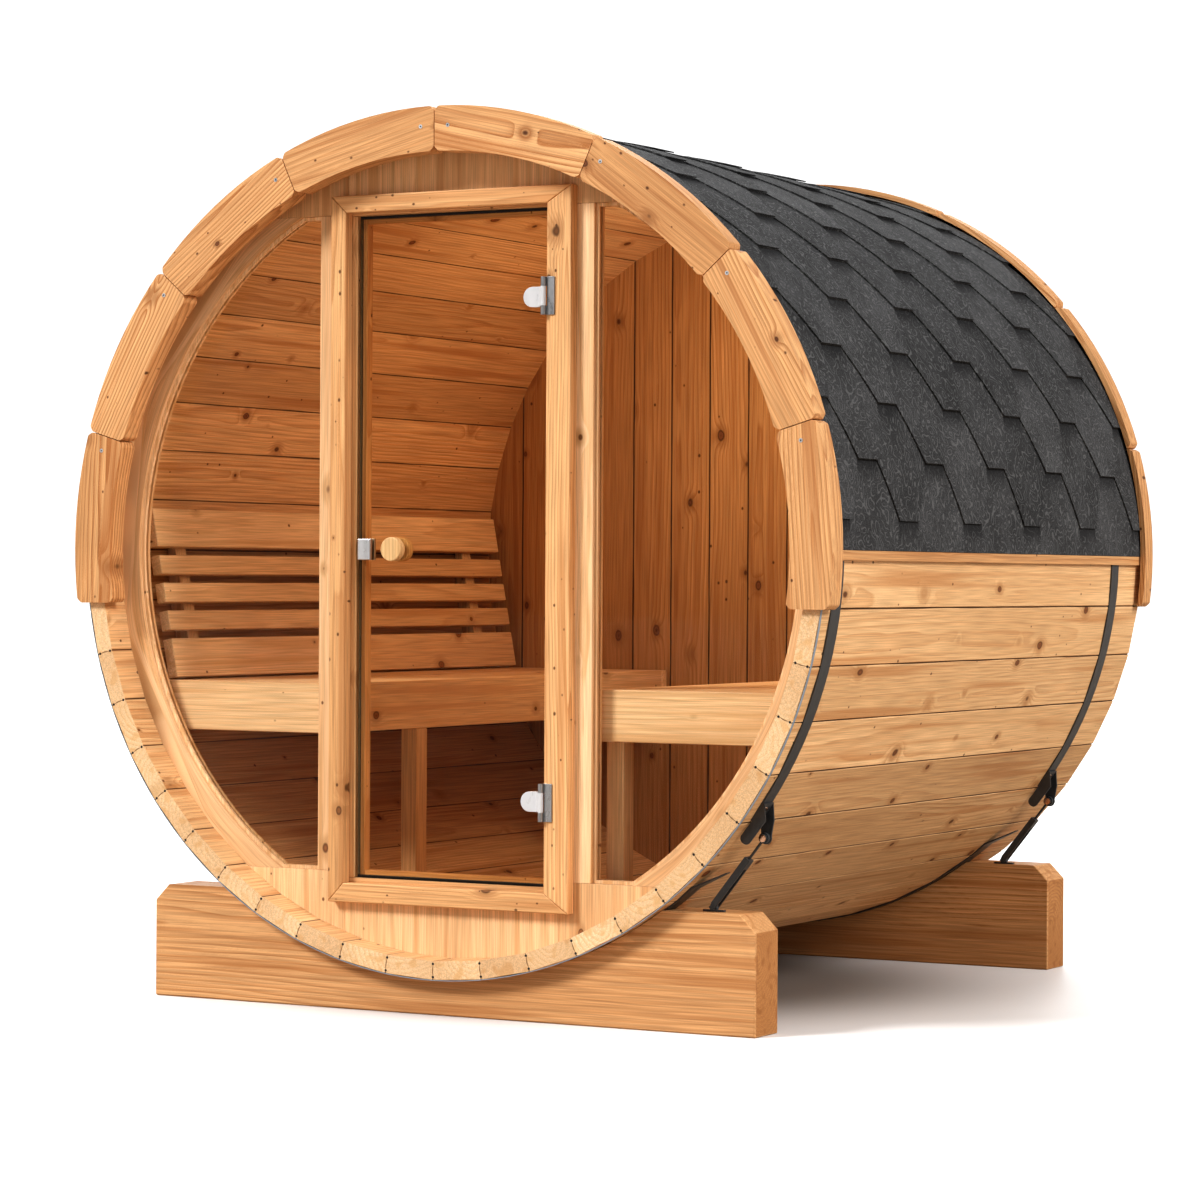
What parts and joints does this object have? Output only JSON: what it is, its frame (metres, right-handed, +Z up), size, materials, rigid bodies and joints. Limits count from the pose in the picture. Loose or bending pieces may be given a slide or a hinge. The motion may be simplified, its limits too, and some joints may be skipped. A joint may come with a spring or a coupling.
{
  "type": "barrel sauna",
  "caption": "Barrel sauna of wooden staves on two cradles, with a shingled upper half, a glazed front, a hinged glass door and side benches.",
  "frame": {"origin": "on the ground, under the middle of the barrel", "axes": "+Z up, +Y from the glazed front to the back along the barrel, +X to the right seen from the front"},
  "size_m": [2.016, 1.93, 2.0759],
  "materials": {
    "spruce": "oiled knotty softwood",
    "light_spruce": "planed softwood, oiled",
    "inner_spruce": "planed softwood",
    "knob_wood": "turned pale softwood",
    "window_glass": "lightly tinted clear glass",
    "door_glass": "bronze tinted toughened glass",
    "band_steel": "dark coated steel strip",
    "bright_steel": "satin light metal",
    "shingle": "mineral grit on bitumen felt"
  },
  "bodies": {
    "root": {"right_upper_staves": "spruce", "right_lower_staves": "spruce", "floor_staves": "spruce", "left_lower_staves": "spruce", "left_upper_staves": "spruce", "roof_staves": "spruce", "rear_wall_boards": "spruce", "front_arch": "spruce", "rear_arch": "spruce", "cradle_front": "spruce", "cradle_rear": "spruce", "eave_battens": "spruce", "front_wall_head": "light_spruce", "front_wall_sill": "light_spruce", "front_wall_left_post": "light_spruce", "front_wall_right_post": "light_spruce", "front_wall_left_rim": "light_spruce", "front_wall_right_rim": "light_spruce", "door_casing": "light_spruce", "door_jambs": "light_spruce", "door_stops": "light_spruce", "window_beads": "light_spruce", "left_bench_seat": "inner_spruce", "left_bench_frame": "inner_spruce", "left_backrest_slats": "inner_spruce", "left_backrest_uprights": "inner_spruce", "right_bench_seat": "inner_spruce", "right_bench_frame": "inner_spruce", "right_backrest_slats": "inner_spruce", "right_backrest_uprights": "inner_spruce", "window_left": "window_glass", "window_right": "window_glass", "front_band": "band_steel", "rear_band": "band_steel", "front_tensioner": "band_steel", "rear_tensioner": "band_steel", "hinge_frame_leaves": "bright_steel", "front_edge_strip": "bright_steel", "roof_courses_left": "shingle", "roof_courses_right": "shingle", "roof_ridge": "shingle"},
    "door": {"door_glass": "door_glass", "door_hinges": "bright_steel", "door_knob": "knob_wood", "door_catch": "bright_steel"}
  },
  "joints": [
    {"name": "door_hinge", "type": "hinge", "parent": "root", "child": "door", "pos_m": [0.255, -0.906, 1.068], "axis": [0, 0, 1], "range_deg": [0, 110]}
  ]
}
